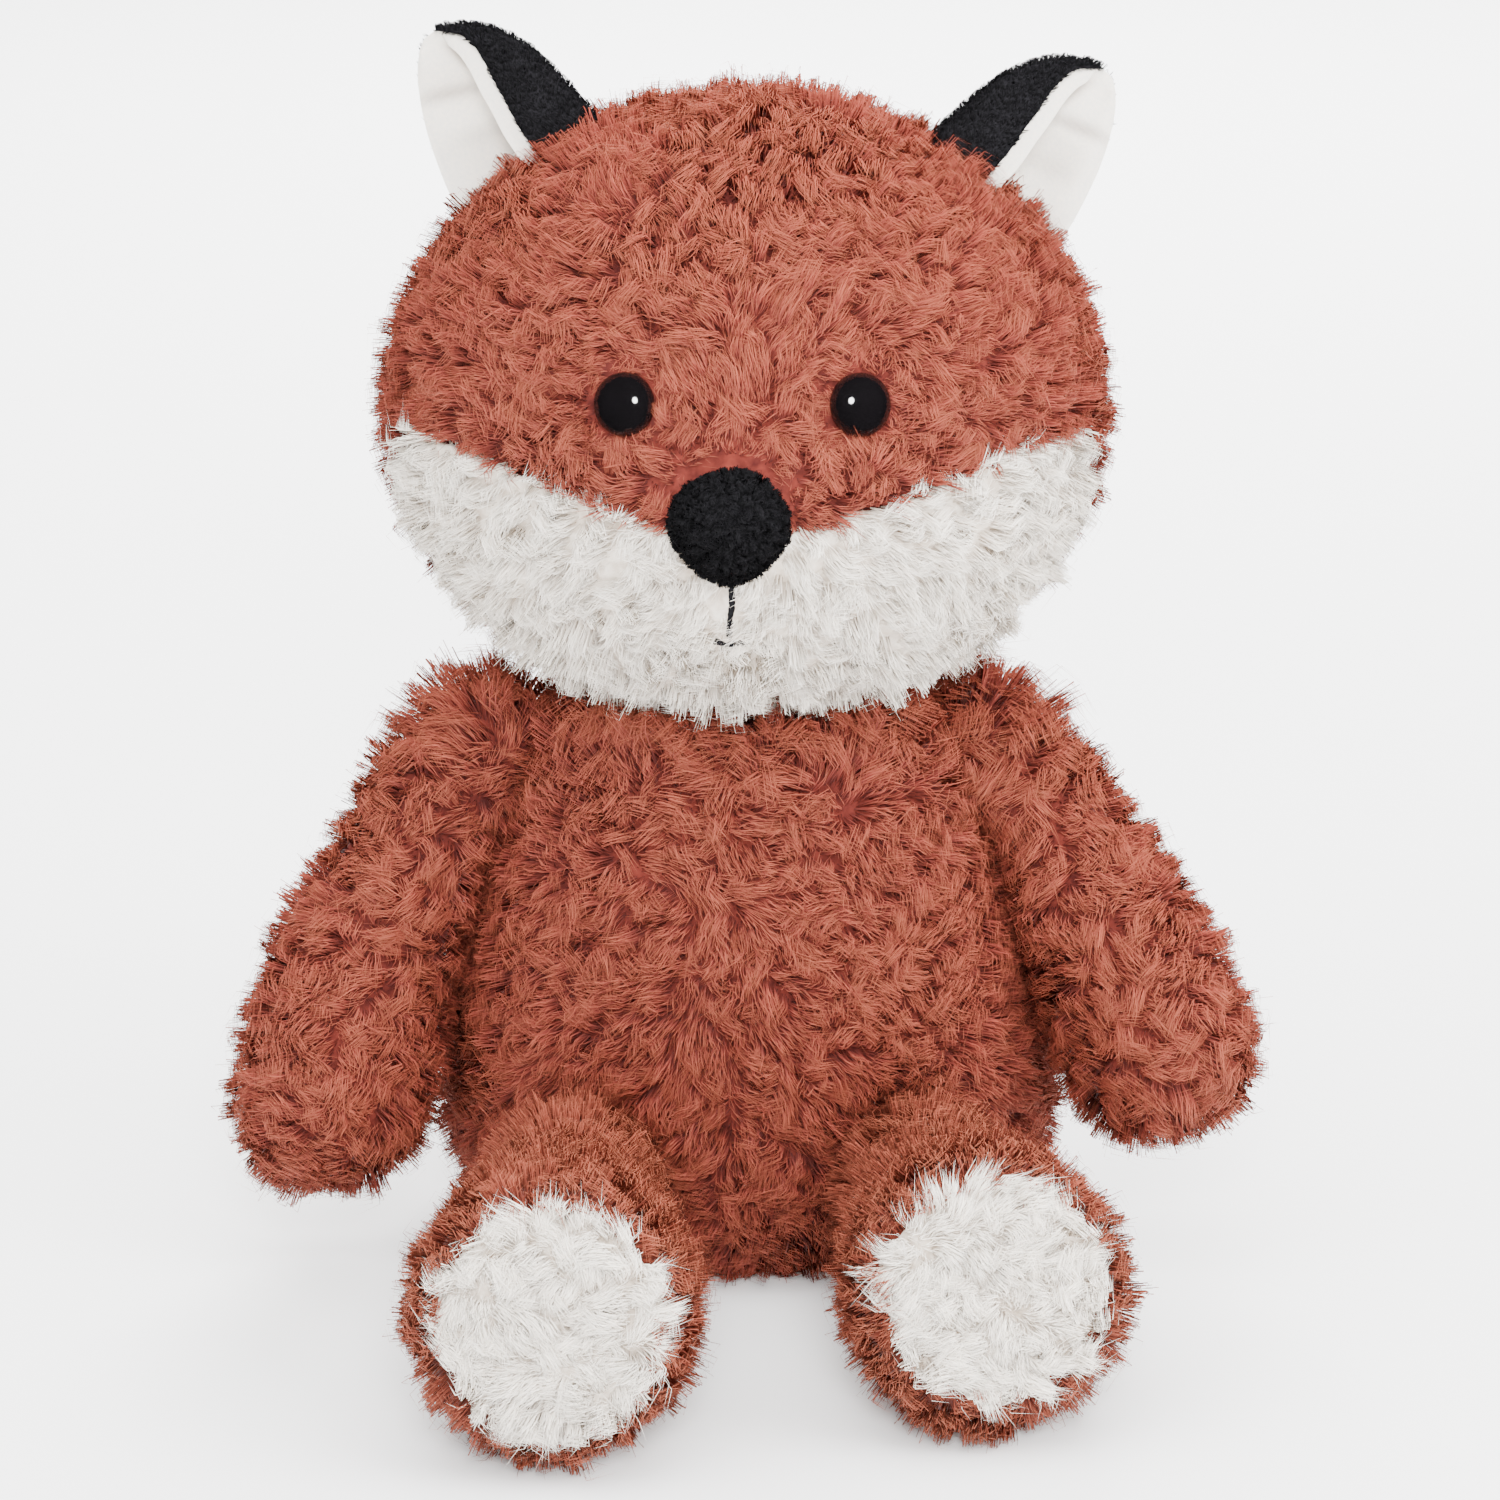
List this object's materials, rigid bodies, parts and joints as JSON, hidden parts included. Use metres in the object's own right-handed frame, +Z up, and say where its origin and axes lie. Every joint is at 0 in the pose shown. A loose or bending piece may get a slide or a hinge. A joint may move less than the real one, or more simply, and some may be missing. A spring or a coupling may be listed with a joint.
{
  "type": "plush fox",
  "caption": "Sitting plush fox with curly rust and white pile, folded velour ears, safety eyes, a puffy nose and limbs, head, ears and tail that turn at their seams.",
  "frame": {"origin": "on the floor under the middle of the seat's flat underside", "axes": "+Z up, -Y the way the fox faces, +X the fox's own left"},
  "size_m": [0.2032, 0.2416, 0.2402],
  "materials": {
    "rust_plush": "matte",
    "foot_plush": "matte",
    "white_plush": "matte",
    "white_velour": "matte",
    "black_velour": "matte",
    "black_thread": "matte",
    "wadding": "matte",
    "pouch_cloth": "matte",
    "eye_plastic": "polished",
    "washer_plastic": "satin"
  },
  "bodies": {
    "torso": {"torso_skin": "rust_plush", "torso_stuffing": "wadding", "bean_pouch": "pouch_cloth"},
    "head": {"crown_skin": "rust_plush", "muzzle_skin": "white_plush", "head_stuffing": "wadding", "nose_pad": "black_velour", "mouth_stitch": "black_thread", "eye_left": "eye_plastic", "eye_washer_left": "washer_plastic", "eye_right": "eye_plastic", "eye_washer_right": "washer_plastic"},
    "ear_left": {"ear_back_left": "black_velour", "ear_lining_left": "white_velour"},
    "ear_right": {"ear_back_right": "black_velour", "ear_lining_right": "white_velour"},
    "arm_left": {"arm_skin_left": "rust_plush", "arm_stuffing_left": "wadding"},
    "arm_right": {"arm_skin_right": "rust_plush", "arm_stuffing_right": "wadding"},
    "leg_left": {"leg_skin_left": "foot_plush", "sole_left": "white_plush", "leg_stuffing_left": "wadding"},
    "leg_right": {"leg_skin_right": "foot_plush", "sole_right": "white_plush", "leg_stuffing_right": "wadding"},
    "tail": {"tail_skin": "rust_plush", "tail_tip": "white_plush", "tail_stuffing": "wadding"}
  },
  "joints": [
    {"name": "head_turn", "type": "hinge", "parent": "torso", "child": "head", "pos_m": [-0.001, -0.008, 0.114], "axis": [0, 0, 1], "range_deg": [-35, 35], "stiffness_Nm_per_rad": 0.05},
    {"name": "ear_left_bend", "type": "hinge", "parent": "head", "child": "ear_left", "pos_m": [0.04766, 0.00281, 0.20953], "axis": [0.7188, 0.1089, -0.6867], "range_deg": [-12, 12], "stiffness_Nm_per_rad": 0.004},
    {"name": "ear_right_bend", "type": "hinge", "parent": "head", "child": "ear_right", "pos_m": [-0.04324, 0.00362, 0.21447], "axis": [0.79, -0.1426, 0.5963], "range_deg": [-12, 12], "stiffness_Nm_per_rad": 0.004},
    {"name": "shoulder_left", "type": "hinge", "parent": "torso", "child": "arm_left", "pos_m": [0.045, -0.003, 0.0965], "axis": [0, -1, 0], "range_deg": [0, 70], "stiffness_Nm_per_rad": 0.03},
    {"name": "shoulder_right", "type": "hinge", "parent": "torso", "child": "arm_right", "pos_m": [-0.0505, -0.003, 0.0965], "axis": [0, 1, 0], "range_deg": [0, 70], "stiffness_Nm_per_rad": 0.03},
    {"name": "hip_left", "type": "hinge", "parent": "torso", "child": "leg_left", "pos_m": [0.034, -0.054, 0.0245], "axis": [-1, 0, 0], "range_deg": [-20, 40], "stiffness_Nm_per_rad": 0.05},
    {"name": "hip_right", "type": "hinge", "parent": "torso", "child": "leg_right", "pos_m": [-0.034, -0.054, 0.0245], "axis": [-1, 0, 0], "range_deg": [-20, 40], "stiffness_Nm_per_rad": 0.05},
    {"name": "tail_wag", "type": "hinge", "parent": "torso", "child": "tail", "pos_m": [0, 0.055, 0.023], "axis": [0, 0, 1], "range_deg": [-30, 30], "stiffness_Nm_per_rad": 0.02}
  ]
}
